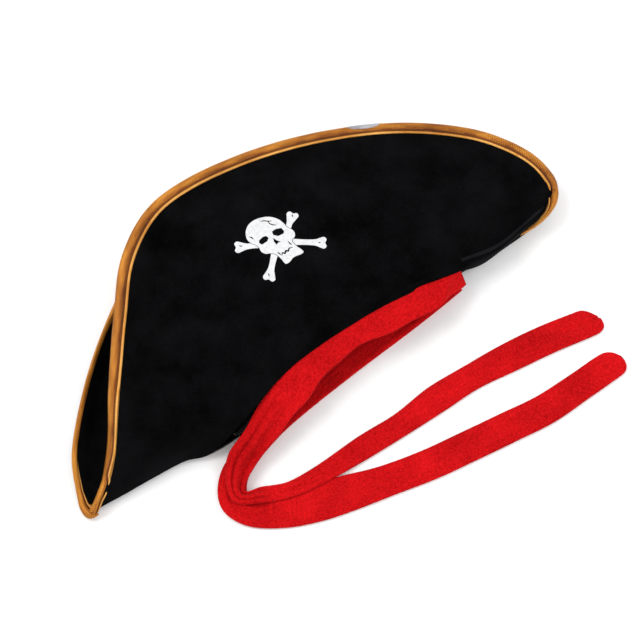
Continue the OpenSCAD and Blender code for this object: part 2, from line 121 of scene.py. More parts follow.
# ---- curves and grids
def cubic(a, b, c, d, f):
    """The smooth line through a, b, c and d, at share f of the way from b to c."""
    return 0.5 * (2 * b + (c - a) * f + (2 * a - 5 * b + 4 * c - d) * f**2
                  + (3 * b - a - 3 * c + d) * f**3)


def along(points, t):
    """Points at shares t of a smooth line through the points."""
    p = np.asarray(points, float)
    last = len(p) - 1
    s = np.clip(np.asarray(t, float), 0, 1) * last
    i = np.minimum(np.floor(s).astype(int), last - 1)
    f = (s - i)[..., None]
    return cubic(*(p[np.clip(i + k, 0, last)] for k in (-1, 0, 1, 2)), f)


def distances_along(path):
    """Distance from the start of a path to each of its points."""
    return np.concatenate([[0], np.cumsum(np.linalg.norm(np.diff(path, axis=0), axis=1))])


def smooth(f):
    f = np.clip(f, 0, 1)
    return f * f * (3 - 2 * f)


def bump(x, centre, width):
    """A soft hump of height 1 about centre."""
    return np.exp(-(((x - centre) / width) ** 2))


def unit(v):
    return v / np.maximum(np.linalg.norm(v, axis=-1, keepdims=True), 1e-12)


def value_noise(points, size, seed):
    """Smooth noise in -1..1 with features of about size, at points in millimetres."""
    flat = np.asarray(points, float).reshape(-1, 3) / size + seed * 17.31
    found = np.array([noise.noise(Vector(q)) for q in flat])
    return found.reshape(np.asarray(points).shape[:-1])


def grid_normals(g):
    du = np.gradient(g, axis=0)
    dv = np.gradient(g, axis=1)
    return unit(np.cross(du, dv))


def upward_normals(g):
    n = grid_normals(g)
    return n * np.sign(n[..., 2:3])


def mesh_object(name, verts, faces, materials, picks=None):
    """A smooth-shaded mesh object from points in millimetres."""
    me = bpy.data.meshes.new(name)
    me.from_pydata([tuple(v) for v in np.asarray(verts) * MM], [], [list(f) for f in faces])
    for m in materials:
        me.materials.append(m)
    me.polygons.foreach_set("use_smooth", [True] * len(me.polygons))
    if picks is not None:
        me.polygons.foreach_set("material_index", picks)
    me.validate()
    bm = bmesh.new()
    bm.from_mesh(me)
    bmesh.ops.recalc_face_normals(bm, faces=bm.faces)
    bm.to_mesh(me)
    bm.free()
    obj = bpy.data.objects.new(name, me)
    bpy.context.scene.collection.objects.link(obj)
    return obj


def grid_quads(ni, nj, start, flip=False, looped=False):
    i, j = np.meshgrid(np.arange(ni if looped else ni - 1), np.arange(nj - 1), indexing="ij")
    a = start + i * nj + j
    b = start + ((i + 1) % ni) * nj + j
    quads = np.stack([a, a + 1, b + 1, b], -1).reshape(-1, 4)
    return quads[:, ::-1] if flip else quads


def shell(name, g, low, high, *materials, picks=None):
    """Closed cloth between two offsets of a grid, pressed thinner at its ends and its last edge.

    picks chooses the material of each outer cell."""
    n = grid_normals(g)
    ni, nj = g.shape[:2]
    t, v = np.linspace(0, 1, ni)[:, None], np.linspace(0, 1, nj)[None, :]
    at_ends = 0.5 + 0.5 * smooth(t / 0.1) * smooth((1 - t) / 0.1)
    at_edge = 1 - 0.45 * smooth((v - 0.93) / 0.05)
    pressed = (at_ends * at_edge)[..., None]
    over = g + n * high * pressed
    under = g + n * low * pressed
    verts = np.concatenate([over.reshape(-1, 3), under.reshape(-1, 3)])
    half = ni * nj
    faces = [grid_quads(ni, nj, 0), grid_quads(ni, nj, half, flip=True)]
    ring = border(ni, nj)
    nxt = np.roll(ring, -1)
    mid_index = len(verts) + np.arange(len(ring))
    centre = 0.5 * (verts[ring] + verts[ring + half])
    away = unit(centre - 0.5 * (verts[inner(ring, ni, nj)] + verts[inner(ring, ni, nj) + half]))
    verts = np.concatenate([verts, centre + away * (high - low) * 0.45 * pressed.reshape(-1, 1)[ring]])
    after = np.roll(mid_index, -1)
    faces.append(np.stack([ring, mid_index, after, nxt], -1))
    faces.append(np.stack([mid_index, ring + half, nxt + half, after], -1))
    faces = np.concatenate(faces)
    chosen = np.zeros(len(faces), int)
    if picks is not None:
        chosen[:picks.size] = picks.ravel()
    return mesh_object(name, verts, faces, materials, chosen.tolist())


def border(ni, nj):
    """Indexes round the edge of a grid, in order."""
    return np.concatenate([
        np.arange(0, nj - 1), np.arange(ni - 1) * nj + nj - 1,
        np.arange((ni - 1) * nj + nj - 1, (ni - 1) * nj, -1), np.arange(ni - 1, 0, -1) * nj,
    ])


def inner(ring, ni, nj):
    """The grid point one step in from each point of the border."""
    i, j = ring // nj, ring % nj
    return np.clip(i, 1, ni - 2) * nj + np.clip(j, 1, nj - 2)


def closed_sweep(name, rings, materials, picks=None, capped=True):
    """A tube through rings of points, which all have the same count."""
    r = np.asarray(rings)
    n, m = r.shape[:2]
    i, j = np.meshgrid(np.arange(n - 1), np.arange(m), indexing="ij")
    a = i * m + j
    b = i * m + (j + 1) % m
    faces = np.stack([a, b, b + m, a + m], -1).reshape(-1, 4).tolist()
    chosen = None if picks is None else picks[:n - 1].ravel().tolist()
    if capped:
        faces += [list(range(m))[::-1], [(n - 1) * m + k for k in range(m)]]
        if chosen is not None:
            chosen += [0, 0]
    return mesh_object(name, r.reshape(-1, 3), faces, materials, chosen)


# ---- materials
def new_material(name):
    m = bpy.data.materials.new(name)
    m.use_nodes = True
    nodes, links = m.node_tree.nodes, m.node_tree.links
    return m, nodes, links, nodes["Principled BSDF"]


def textured(nodes, links, kind, scale, **sockets):
    coord = nodes.new("ShaderNodeTexCoord")
    tex = nodes.new(kind)
    links.new(coord.outputs["Object"], tex.inputs["Vector"])
    tex.inputs["Scale"].default_value = scale
    for key, value in sockets.items():
        tex.inputs[key.replace("_", " ")].default_value = value
    return tex


def ramp(nodes, links, source, stops):
    r = nodes.new("ShaderNodeValToRGB")
    links.new(source, r.inputs["Fac"])
    cr = r.color_ramp
    while len(cr.elements) < len(stops):
        cr.elements.new(0.5)
    for element, (position, colour) in zip(cr.elements, stops):
        element.position = position
        element.color = (*colour, 1)
    return r


def coloured(nodes, links, bsdf, source, stops):
    """Base colour from a ramp over a pattern."""
    links.new(ramp(nodes, links, source, stops).outputs["Color"], bsdf.inputs["Base Color"])


def roughened(nodes, links, bsdf, source, low, high):
    """Roughness that follows a pattern between two values."""
    rough = nodes.new("ShaderNodeMapRange")
    links.new(source, rough.inputs["Value"])
    rough.inputs["To Min"].default_value = low
    rough.inputs["To Max"].default_value = high
    links.new(rough.outputs["Result"], bsdf.inputs["Roughness"])


def bumped(nodes, links, bsdf, sources):
    """Chains bump nodes: each source is (height socket, strength, distance in metres)."""
    previous = None
    for height, strength, distance in sources:
        b = nodes.new("ShaderNodeBump")
        b.inputs["Strength"].default_value = strength
        b.inputs["Distance"].default_value = distance
        links.new(height, b.inputs["Height"])
        if previous is not None:
            links.new(previous, b.inputs["Normal"])
        previous = b.outputs["Normal"]
    links.new(previous, bsdf.inputs["Normal"])


def velvet_material(name, dark, light, sheen, sheen_tint,
                    nap=0.00035, pile_scale=1400.0, pile_share=0.5, gloss=0.012):
    """Pile cloth: brushed patches, a fine nap and a soft sheen at grazing angles."""
    m, nodes, links, bsdf = new_material(name)
    patches = textured(nodes, links, "ShaderNodeTexNoise", 28.0, Detail=4.0, Roughness=0.62)
    pile = textured(nodes, links, "ShaderNodeTexNoise", pile_scale, Detail=3.0, Roughness=0.7)
    mixed = nodes.new("ShaderNodeMix")
    mixed.inputs["Factor"].default_value = pile_share
    links.new(patches.outputs["Fac"], mixed.inputs["A"])
    links.new(pile.outputs["Fac"], mixed.inputs["B"])
    coloured(nodes, links, bsdf, mixed.outputs["Result"], [(0.36, dark), (0.64, light)])
    roughened(nodes, links, bsdf, patches.outputs["Fac"], 0.82, 0.98)
    bsdf.inputs["Specular IOR Level"].default_value = gloss
    bsdf.inputs["Sheen Weight"].default_value = sheen
    bsdf.inputs["Sheen Roughness"].default_value = 0.42
    bsdf.inputs["Sheen Tint"].default_value = (*sheen_tint, 1)
    bumped(nodes, links, bsdf, [
        (pile.outputs["Fac"], 0.55, nap), (patches.outputs["Fac"], 0.25, 0.0012)])
    return m


def woven_material(name, dark, light, metallic, roughness, pitch):
    """Metallic thread: fine crossed threads over a slow change of colour along the piece."""
    m, nodes, links, bsdf = new_material(name)
    slow = textured(nodes, links, "ShaderNodeTexNoise", 16.0, Detail=3.0, Roughness=0.6)
    fine = textured(nodes, links, "ShaderNodeTexNoise", 2600.0, Detail=2.0, Roughness=0.6)
    threads = textured(nodes, links, "ShaderNodeTexVoronoi", 1.0 / (pitch * MM), Randomness=0.55)
    tone = nodes.new("ShaderNodeMath")
    tone.operation = "MULTIPLY_ADD"
    links.new(threads.outputs["Distance"], tone.inputs[0])
    tone.inputs[1].default_value = -0.5
    links.new(slow.outputs["Fac"], tone.inputs[2])
    coloured(nodes, links, bsdf, tone.outputs[0], [(0.02, dark), (0.55, light)])
    roughened(nodes, links, bsdf, fine.outputs["Fac"], roughness - 0.12, roughness + 0.12)
    bsdf.inputs["Metallic"].default_value = metallic
    bsdf.inputs["Specular IOR Level"].default_value = 0.2
    bumped(nodes, links, bsdf, [
        (threads.outputs["Distance"], 0.6, 0.0003), (fine.outputs["Fac"], 0.3, 0.00015)])
    return m


def print_material():
    """Thin white transfer film: almost even, with a faint mottle from the pile beneath."""
    m, nodes, links, bsdf = new_material("transfer_white")
    mottle = textured(nodes, links, "ShaderNodeTexNoise", 420.0, Detail=4.0, Roughness=0.65)
    coloured(nodes, links, bsdf, mottle.outputs["Fac"], [
        (0.3, (0.50, 0.505, 0.52)), (0.62, (0.66, 0.66, 0.665))])
    roughened(nodes, links, bsdf, mottle.outputs["Fac"], 0.42, 0.62)
    bumped(nodes, links, bsdf, [(mottle.outputs["Fac"], 0.25, 0.0003)])
    return m


def plain_weave_material(name, dark, light, pitch):
    """Plain woven cloth, from two crossed wave patterns."""
    m, nodes, links, bsdf = new_material(name)
    warp = textured(nodes, links, "ShaderNodeTexWave", 1.0 / (pitch * MM) / 6.3, Distortion=0.6)
    weft = textured(nodes, links, "ShaderNodeTexWave", 1.0 / (pitch * MM) / 6.3, Distortion=0.6)
    weft.bands_direction = "Y"
    both = nodes.new("ShaderNodeMath")
    both.operation = "MULTIPLY"
    links.new(warp.outputs["Fac"], both.inputs[0])
    links.new(weft.outputs["Fac"], both.inputs[1])
    coloured(nodes, links, bsdf, both.outputs[0], [(0.0, dark), (0.8, light)])
    bsdf.inputs["Roughness"].default_value = 0.85
    bumped(nodes, links, bsdf, [(both.outputs[0], 0.5, 0.0002)])
    return m


BLACK = velvet_material(
    "velvet_black", (0.0002, 0.0002, 0.0003), (0.0046, 0.0046, 0.0052), 0.016, (0.85, 0.9, 1.0))
# Lighter velvet with more sheen for the crest of the front fold's crease: a painted highlight.
CREASE_HIGHLIGHT = velvet_material(
    "velvet_crease_highlight", (0.0040, 0.0042, 0.0048), (0.0140, 0.0145, 0.0160), 0.03, (0.8, 0.85, 1.0))
RED = velvet_material(
    "plush_red", (0.29, 0.0004, 0.0014), (0.62, 0.006, 0.008), 0.09, (1.0, 0.2, 0.18),
    nap=0.0010, pile_scale=620.0, pile_share=0.65, gloss=0.06)
GOLD = woven_material("braid_gold", (0.34, 0.10, 0.008), (0.82, 0.37, 0.05), 0.35, 0.42, 0.75)
# Darker gold painted as shade in the valleys between the braid's ribs.
GOLD_VALLEY_SHADE = woven_material("braid_valley_shade", (0.07, 0.013, 0.001), (0.30, 0.075, 0.005), 0.3, 0.5, 0.75)
LIP = woven_material("braid_lip", (0.42, 0.16, 0.02), (0.90, 0.52, 0.16), 0.35, 0.38, 0.6)
# Darker gold painted as shade in the braid's groove.
GOLD_GROOVE_SHADE = woven_material("braid_groove_shade", (0.03, 0.005, 0.001), (0.22, 0.055, 0.005), 0.2, 0.5, 0.75)
WORN = woven_material("braid_worn", (0.13, 0.12, 0.13), (0.66, 0.66, 0.70), 0.5, 0.34, 0.8)
THREAD_GOLD = woven_material("thread_gold", (0.20, 0.06, 0.006), (0.5, 0.2, 0.03), 0.2, 0.5, 0.3)
THREAD_BLACK = woven_material("thread_black", (0.004, 0.004, 0.004), (0.02, 0.02, 0.02), 0.0, 0.6, 0.3)
THREAD_RED = woven_material("thread_red", (0.3, 0.002, 0.002), (0.6, 0.01, 0.01), 0.0, 0.6, 0.3)
PRINT = print_material()
STIFF = plain_weave_material("interlining", (0.05, 0.05, 0.055), (0.16, 0.16, 0.17), 0.8)
RIBBON = plain_weave_material("sweatband", (0.008, 0.008, 0.009), (0.035, 0.035, 0.04), 0.7)


# ---- the brim's two flaps and turned-under strip
def front_flap(t, v):
    """Middle of the front flap, with the soft folds that fan out from the left point."""
    start = along(FOLD, t) + np.array([0, 1.4, 1.4])
    edge = along(FRONT_EDGE, t) + bump(t, 0.035, 0.03)[..., None] * np.array([1.6, -2.2, 0])
    g = start + (edge - start) * v[..., None]
    g[..., 2] += 10 * np.sin(np.pi * t) * np.sin(np.pi * v**0.7)
    return g


def fan_folds(g):
    """Height of the shallow folds that run up and right from the left point, in millimetres."""
    dx, dy = g[..., 0] + 238, g[..., 1] + 40
    reach = np.hypot(dx, dy)
    angle = np.degrees(np.arctan2(dy, dx))
    fade = smooth((reach - 40) / 60) * (1 - smooth((reach - 230) / 120))
    folds = (2.4 * bump(angle, 9, 2.4) + 1.5 * bump(angle, 23, 3.2) - 1.2 * bump(angle, 15.5, 2.8)
             + 1.1 * bump(angle, 36, 4.2) - 0.9 * bump(angle, 29, 3.2))
    return folds * fade


def soft_waves(g, seed, height):
    """Slow unevenness of stiffened cloth."""
    return height * (value_noise(g, 62, seed) + 0.45 * value_noise(g, 27, seed + 3))


def fold_strip(t, v):
    """Middle of the strip between the front fold and the rim or keel; v runs from the fold."""
    start = along(FOLD, t) + np.array([0, -0.8, -1.8])
    rim = along(FRONT_RIM, t)
    g = start + (rim - start) * v[..., None]
    g[..., 1] -= 0.6 * np.sin(np.pi * t) * np.sin(np.pi * v)
    g += (smooth((t - 0.86) / 0.14) * np.sin(np.pi * v))[..., None] * np.array([4.5, -2.8, 0])
    return g


def rounded_column(column, sharp):
    """Smooths one section of the brim about its fold. sharp is the spread in grid steps."""
    n = len(column)
    reach = int(3 * sharp) + 1
    k = np.exp(-0.5 * (np.arange(-reach, reach + 1) / sharp) ** 2)
    k /= k.sum()
    padded = np.concatenate([
        2 * column[0] - column[reach:0:-1], column, 2 * column[-1] - column[-2:-reach - 2:-1]])
    return np.stack([np.convolve(padded[:, c], k, "valid") for c in range(3)], -1)[:n]


STRIP_STEPS = 16
FLAP_STEPS = 84
LONG_STEPS = 300


def front_grid():
    """The whole front of the brim as one cloth: strip, rounded fold, flap."""
    ts = np.linspace(0, 1, LONG_STEPS + 1)
    t, v = np.meshgrid(ts, np.linspace(0, 1, FLAP_STEPS + 1), indexing="ij")
    flap = front_flap(t, v)
    normal = grid_normals(flap)
    calm = smooth((0.97 - v) / 0.12) * smooth(t / 0.06) * smooth((1 - t) / 0.05)
    height = fan_folds(flap) + soft_waves(flap, 1, 0.9)
    flap = flap + normal * (height * calm)[..., None]
    t, v = np.meshgrid(ts, np.linspace(1, 1 / STRIP_STEPS / 2, STRIP_STEPS), indexing="ij")
    strip = fold_strip(t, v)
    strip[..., 1] -= 0.8 * value_noise(strip, 30, 5) * np.sin(np.pi * v)
    whole = np.concatenate([strip, flap], axis=1)
    folded = np.stack([soft_fold(c, share) for c, share in zip(whole, ts)])
    place = np.arange(folded.shape[1]) - STRIP_STEPS
    creased = smooth((ts - 0.6) / 0.2) * (1 - smooth((ts - 0.9) / 0.08))
    crease = 0.9 * creased[:, None] * np.exp(-((place / 1.1) ** 2))
    return folded + grid_normals(folded) * crease[..., None]


def soft_fold(column, t):
    """Rounds the fold: broad at the left point, a thin crease at the right."""
    spread = 6.0 - 5.2 * float(smooth((t - 0.2) / 0.45))
    rounded = rounded_column(column, spread)
    place = np.arange(len(column)) - STRIP_STEPS
    share = np.exp(-((place / (5 * spread)) ** 2))[:, None]
    return column * (1 - share) + rounded * share


def edge_curl(t, distance):
    """Height of the back flap's curled edge beside the left point."""
    grown = smooth(t / 0.08) * (1 - smooth((t - 0.24) / 0.31))
    rise = np.where(distance < 6, 1 - 0.1 * distance, 0.00625 * np.clip(14 - distance, 0, None) ** 2)
    return 15 * grown * rise


def back_grid():
    ts, vs = np.linspace(0, 1, LONG_STEPS + 1), np.linspace(0, 1, FLAP_STEPS + 1)
    t, v = np.meshgrid(ts, 1 - (1 - vs) ** 1.6, indexing="ij")
    rim, edge = along(BACK_RIM, t), along(BACK_EDGE, t)
    g = rim + (edge - rim) * v[..., None]
    distance = np.linalg.norm(edge - rim, axis=-1) * (1 - v)
    near_edge = smooth((24 - distance) / 12)
    near_point = smooth(np.maximum(0.14 - t, t - 0.86) / 0.14 * 1.5)
    g[..., 2] = 2.1 + 1.9 * np.maximum(near_edge, near_point) + edge_curl(t, distance)
    swell = np.abs(soft_waves(g, 8, 0.5)) * np.sin(np.pi * v) * smooth(t / 0.1) * smooth((1 - t) / 0.1)
    g[..., 2] += swell
    return g


FRONT = front_grid()
BACK = back_grid()
FLAP = FRONT[:, STRIP_STEPS:]


# ---- braid
def resample(path, fields, step):
    """Even steps along a path; the fields are carried with it."""
    lengths = distances_along(path)
    count = int(lengths[-1] / step) + 1
    at = np.linspace(0, lengths[-1], count)
    take = lambda f: np.stack([np.interp(at, lengths, f[:, c]) for c in range(3)], -1)
    return take(path), [unit(take(f)) for f in fields], at


def relaxed(path, fields, times):
    """Evens out a path and its directions; the two ends stay."""
    for _ in range(times):
        for f in [path, *fields]:
            f[1:-1] = 0.25 * f[:-2] + 0.5 * f[1:-1] + 0.25 * f[2:]
    return path, [unit(f) for f in fields]


# Where the braid leaves the flaps' edges and turns round the points: place, outward and upward direction.
LEFT_END_FRONT = [
    ((-221.8, -22.3, 15.4), (-0.7, 0.6, 0.1), (-0.1, -0.3, 0.9)),
    ((-227.6, -26.3, 13.4), (-0.8, 0.5, 0.1), (0.0, -0.5, 0.8)),
    ((-232.0, -29.2, 11.2), (-0.9, 0.2, 0.1), (0.0, -0.6, 0.8)),
    ((-235.4, -31.0, 8.8), (-0.95, 0.0, 0.0), (0.0, -0.7, 0.7)),
]
LEFT_END_BACK = [
    ((-240.0, -21.5, 6.8), (-1.0, 0.0, 0.1), (0.2, 0.0, 1.0)),
    ((-240.4, -27.0, 6.4), (-1.0, -0.3, 0.0), (0.1, 0.0, 1.0)),
    ((-240.0, -31.2, 6.0), (-0.8, -0.6, 0.0), (0.0, 0.0, 1.0)),
    ((-237.0, -33.6, 5.6), (-0.3, -1.0, 0.0), (0.0, 0.0, 1.0)),
    ((-231.8, -32.8, 5.4), (0.3, -1.0, 0.0), (0.0, 0.0, 1.0)),
]
RIGHT_END_FRONT = [
    ((232.8, -5.3, 25.0), (0.95, -0.1, 0.1), (-0.2, -0.3, 0.93)),
    ((227.2, -8.8, 24.2), (0.85, -0.45, -0.1), (-0.1, -0.4, 0.9)),
    ((219.6, -11.4, 22.6), (0.6, -0.7, -0.3), (0.0, -0.6, 0.8)),
    ((212.3, -12.5, 20.0), (0.5, -0.7, -0.5), (0.0, -0.8, 0.6)),
    ((204.6, -12.5, 17.0), (0.4, -0.7, -0.6), (0.1, -0.9, 0.5)),
    ((198.5, -11.7, 14.0), (0.4, -0.6, -0.7), (0.1, -0.9, 0.3)),
    ((192.6, -10.3, 11.0), (0.4, -0.5, -0.8), (0.2, -0.9, 0.2)),
]
RIGHT_END_BACK = [
    ((204.0, -7.0, 5.0), (0.9, -0.4, 0.0), (0.0, 0.0, 1.0)),
    ((198.0, -8.0, 6.0), (0.6, -0.7, 0.0), (0.0, 0.2, 1.0)),
]
# Near its ends the braid is folded narrower and flatter:
# distance from the end, share of width, share of thickness.
FRONT_NARROWING = (
    [(0, 0.45, 0.9), (12, 0.5, 1.3), (30, 0.75, 1.2), (50, 1.0, 1.0)],
    [(0, 0.08, 0.35), (20, 0.1, 0.5), (32, 0.25, 0.9), (44, 0.6, 1.35), (66, 1.0, 1.1), (90, 1.0, 1.0)],
)
BACK_NARROWING = (
    [(0, 0.9, 0.8), (12, 0.75, 0.85), (30, 0.36, 0.6), (170, 0.3, 0.5), (215, 1.0, 1.0)],
    [(0, 0.4, 0.8), (26, 1.0, 1.0)],
)


def joined(parts):
    """One path with its directions, from pieces of path in order."""
    return tuple(np.concatenate([np.asarray(p[k], float) for p in parts]) for k in range(3))


def turn(points, backwards=False):
    """The path, outward and upward columns of a turn given point by point."""
    rows = points[::-1] if backwards else points
    return tuple(np.array([row[k] for row in rows], float) for k in range(3))


def flap_edge(grid, first, last):
    """The free edge of a flap between two shares of its length, with its directions."""
    rows = slice(int(first * LONG_STEPS), int(last * LONG_STEPS) + 1)
    edge, inside = grid[rows, -1], grid[rows, -6]
    return edge, unit(edge - inside), grid_normals(grid)[rows, -1]


def braid_loop():
    """The two runs of braid: round the front flap with its turned-under end, and round the back flap."""
    front = joined([
        turn(LEFT_END_FRONT, backwards=True), flap_edge(FLAP, 0.045, 0.985), turn(RIGHT_END_FRONT)])
    back = joined([
        turn(LEFT_END_BACK, backwards=True), flap_edge(BACK, 0.03, 0.985), turn(RIGHT_END_BACK)])
    return front, back


# Outline of the braid on one face: distance out from the cloth's edge, height from the middle of the cloth.
FACE = [
    (1.9, 0.0), (1.8, 0.9), (1.4, 1.9), (0.6, 2.75), (-0.5, 3.25), (-1.9, 3.5), (-3.4, 3.45),
    (-4.7, 3.15), (-5.5, 2.75), (-6.0, 2.35), (-6.5, 2.15), (-7.0, 2.25), (-7.4, 2.6), (-7.9, 2.85),
    (-8.5, 2.85), (-9.1, 2.6), (-9.6, 2.15),
]
RIB_PITCH = 1.7
LIP_PITCH = 1.25
DIMPLE_PITCH = 2.6
# How far the groove lies inside the cloth's edge.
GROOVE_INSET = 6.2
# Materials of the braid's cells, in the order that braid_run gives them; the groove and valley cells are darker
# gold as painted shade.
RIB, LIP_YARN, GROOVE_SHADED, VALLEY_SHADED = range(4)


def braid_profile():
    """Outline of the braid on both faces, with the space for the cloth between them."""
    upper = np.array(FACE)
    lower = upper[1:][::-1] * np.array([1, -1])
    inside = np.array([(-9.3, -1.95), (-9.3, 1.95)])
    return np.concatenate([upper, inside[::-1], lower])


def braid_frames(run):
    """Even steps along a run of braid: places, outward and upward directions, and distances."""
    path, out, up = run
    path, (out, up), at = resample(path, [out, up], 0.42)
    path, (out, up) = relaxed(path, [out, up], 40)
    way = unit(np.gradient(path, axis=0))
    out = unit(out - way * (out * way).sum(-1, keepdims=True))
    side = unit(np.cross(way, out))
    side *= np.sign((side * up).sum(-1, keepdims=True))
    return path, way, out, side, at


def narrowed(at, narrowing):
    """Shares of the braid's full width and thickness at each place."""
    start, end = (np.array(rows).T for rows in narrowing)
    left = at[-1] - at
    return [np.minimum(np.interp(at, start[0], start[k]), np.interp(left, end[0], end[k])) for k in (1, 2)]


def braid_picks(x, at, ribs):
    """Which material each cell of the braid shows: rib, lip, or darker gold as painted shade in the groove and
    in the valleys between ribs, the valleys more often further from the nose.
    """
    slots = np.zeros(ribs.shape, int)
    slots[ribs < (-0.45 + 1.3 * smooth((-x - 0.5) / 4.5))[None, :]] = VALLEY_SHADED
    slots[:, x < -5.2] = GROOVE_SHADED
    slots[:, x < -7.0] = LIP_YARN
    slots[(np.cos(2 * np.pi * at / LIP_PITCH) < -0.4)[:, None] & (x < -7.0)[None, :]] = RIB
    return slots


def braid_run(name, run, narrowing):
    """Sweeps the braid's outline, with slanting ribs, sewn dimples in the groove and a bright lip."""
    path, _, out, side, at = braid_frames(run)
    outline = braid_profile()
    width, thick = narrowed(at, narrowing)
    rings = np.zeros((len(at), len(outline), 3))
    ribs = np.zeros((len(at), len(outline)))
    for k, (x, y) in enumerate(outline):
        face = np.sign(y)
        body = float(smooth((x + 5.6) / 1.4)) * float(abs(y) > 2 or x > 0)
        ribs[:, k] = np.cos(2 * np.pi * (at + 0.42 * x * face) / RIB_PITCH)
        dimple = -0.45 * bump(x, -GROOVE_INSET, 0.6) * np.cos(np.pi * at / DIMPLE_PITCH) ** 2
        lipped = 0.2 * np.cos(2 * np.pi * at / LIP_PITCH) * bump(x, -8.2, 0.8)
        rib = 0.3 * ribs[:, k] * body
        height = (y + (rib + dimple + lipped) * face) * thick
        reach = x * width if x < 0 else x + rib
        rings[:, k] = path + out * reach[:, None] + side * height[:, None]
    rings += side[:, None] * (0.22 * value_noise(path, 14, 4))[:, None, None]
    # Groove and valley cells take darker gold as painted shade.
    return closed_sweep(name, rings, [GOLD, LIP, GOLD_GROOVE_SHADE, GOLD_VALLEY_SHADE], braid_picks(outline[:, 0], at, ribs))


front_run, back_run = braid_loop()
braid_front = braid_run("edge_braid_front", front_run, FRONT_NARROWING)
braid_back = braid_run("edge_braid_back", back_run, BACK_NARROWING)


# ---- cloth pieces of the brim
def crease_highlight_cells():
    """1 for the cells on the sharp part of the fold, which get a lighter velvet as a painted highlight along
    the crease; otherwise 0.
    """
    picks = np.zeros((LONG_STEPS, FRONT.shape[1] - 1), int)
    picks[int(0.7 * LONG_STEPS):int(0.985 * LONG_STEPS), STRIP_STEPS] = 1
    return picks


# The second material paints a highlight along the crease's crest.
front_velvet = shell(
    "front_flap_velvet", FRONT, STIFF_HALF + 0.1, CLOTH_HALF, BLACK, CREASE_HIGHLIGHT, picks=crease_highlight_cells())
front_lining = shell("front_flap_lining", FRONT, -CLOTH_HALF, -STIFF_HALF - 0.1, BLACK)
front_stiff = shell("front_flap_interlining", FLAP[:, 2:], -STIFF_HALF, STIFF_HALF, STIFF)
back_velvet = shell("back_flap_velvet", BACK, -CLOTH_HALF, -STIFF_HALF - 0.1, BLACK)
back_lining = shell("back_flap_lining", BACK, STIFF_HALF + 0.1, CLOTH_HALF, BLACK)
back_stiff = shell("back_flap_interlining", BACK, -STIFF_HALF, STIFF_HALF, STIFF)


# ---- crown and sweatband
def crown_panel(rim_line, front):
    """One crown panel, gathered at the rim and puffed a little."""
    t, v = np.meshgrid(np.linspace(0, 1, 181), np.linspace(0, 1, 57), indexing="ij")
    rim, top = along(rim_line, t), along(CROWN_TOP, t)
    g = rim + (top - rim) * v[..., None]
    g[..., 2] = rim[..., 2] + (top[..., 2] - rim[..., 2]) * v**3
    swell = np.sin(np.pi * t) * np.sin(np.pi * v)
    gathers = 0.9 * np.sin(2 * np.pi * 17 * t + 2 * value_noise(g, 40, 11)) * np.exp(-v * 4.5)
    puff = 0.8 * value_noise(g, 24, 12) * np.sin(np.pi * v)
    quiet = smooth(t / 0.06) * smooth((1 - t) / 0.06) * smooth(v / 0.05) * smooth((1 - v) / 0.06)
    if front:
        g[..., 2] += 1.9 + 5 * swell + (gathers + puff) * quiet
    else:
        g[..., 2] += -0.9 - 0.8 * v**2 + (np.abs(gathers) * 0.5 + np.abs(puff) * 0.4) * quiet
    return g


crown_front_grid = crown_panel(CROWN_RIM_FRONT, True)
crown_back_grid = crown_panel(CROWN_RIM_BACK, False)
crown_front = shell("crown_front_panel", crown_front_grid, -0.5, 0.5, BLACK)
crown_back = shell("crown_back_panel", crown_back_grid, -0.5, 0.5, BLACK)


def sweatband_grid():
    """A ribbon inside the rim, all the way round."""
    share = np.linspace(0, 1, 241)[:-1]
    rows = []
    for s in share:
        ahead = s < 0.5
        t = 0.06 + 0.88 * (2 * s if ahead else 2 - 2 * s)
        g = crown_front_grid if ahead else crown_back_grid
        x = t * (g.shape[0] - 1)
        i = min(int(x), g.shape[0] - 2)
        column = g[i] * (1 - (x - i)) + g[i + 1] * (x - i)
        rows.append(column[1:9] + np.array([0, 0, -1.5 if ahead else 1.6]))
    return np.array(rows)


def looped_shell(name, g, half, material):
    """Closed ribbon round a loop of rows."""
    n = unit(np.cross(np.roll(g, -1, 0) - np.roll(g, 1, 0), np.gradient(g, axis=1)))
    ni, nj = g.shape[:2]
    verts = np.concatenate([(g + n * half).reshape(-1, 3), (g - n * half).reshape(-1, 3)])
    k = np.arange(ni)
    nxt = (k + 1) % ni
    low, high = ni * nj, nj - 1
    faces = [
        grid_quads(ni, nj, 0, looped=True), grid_quads(ni, nj, low, flip=True, looped=True),
        np.stack([k * nj, nxt * nj, low + nxt * nj, low + k * nj], -1),
        np.stack([k * nj + high, low + k * nj + high, low + nxt * nj + high, nxt * nj + high], -1),
    ]
    return mesh_object(name, verts, np.concatenate(faces), [material])


sweatband = looped_shell("sweatband_ribbon", sweatband_grid(), 0.35, RIBBON)


# ---- scarf
ROW_STEP = 1.6


def strip_grid(sewn, free, cross_steps):
    """A strip between its two edges, in even rows; also each row's distance along the strip and v across it."""
    t = np.linspace(0, 1, 1200)
    a, b = along(sewn, t), along(free, t)
    middle = 0.5 * (a + b)
    length = distances_along(middle)
    s = np.linspace(0, length[-1], int(length[-1] / ROW_STEP))
    rows = np.interp(s, length, t)
    v = np.linspace(0, 1, cross_steps + 1)
    a, b = along(sewn, rows)[:, None], along(free, rows)[:, None]
    from_end = np.clip((length[-1] - s) / 11, 0, 1)
    narrow = np.sqrt(1 - (1 - from_end) ** 2.4 * 0.9)
    share = 0.5 + (v[None, :] - 0.5) * narrow[:, None]
    return a + (b - a) * share[..., None], np.repeat(s[:, None], len(v), 1), np.repeat(v[None, :], len(s), 0)


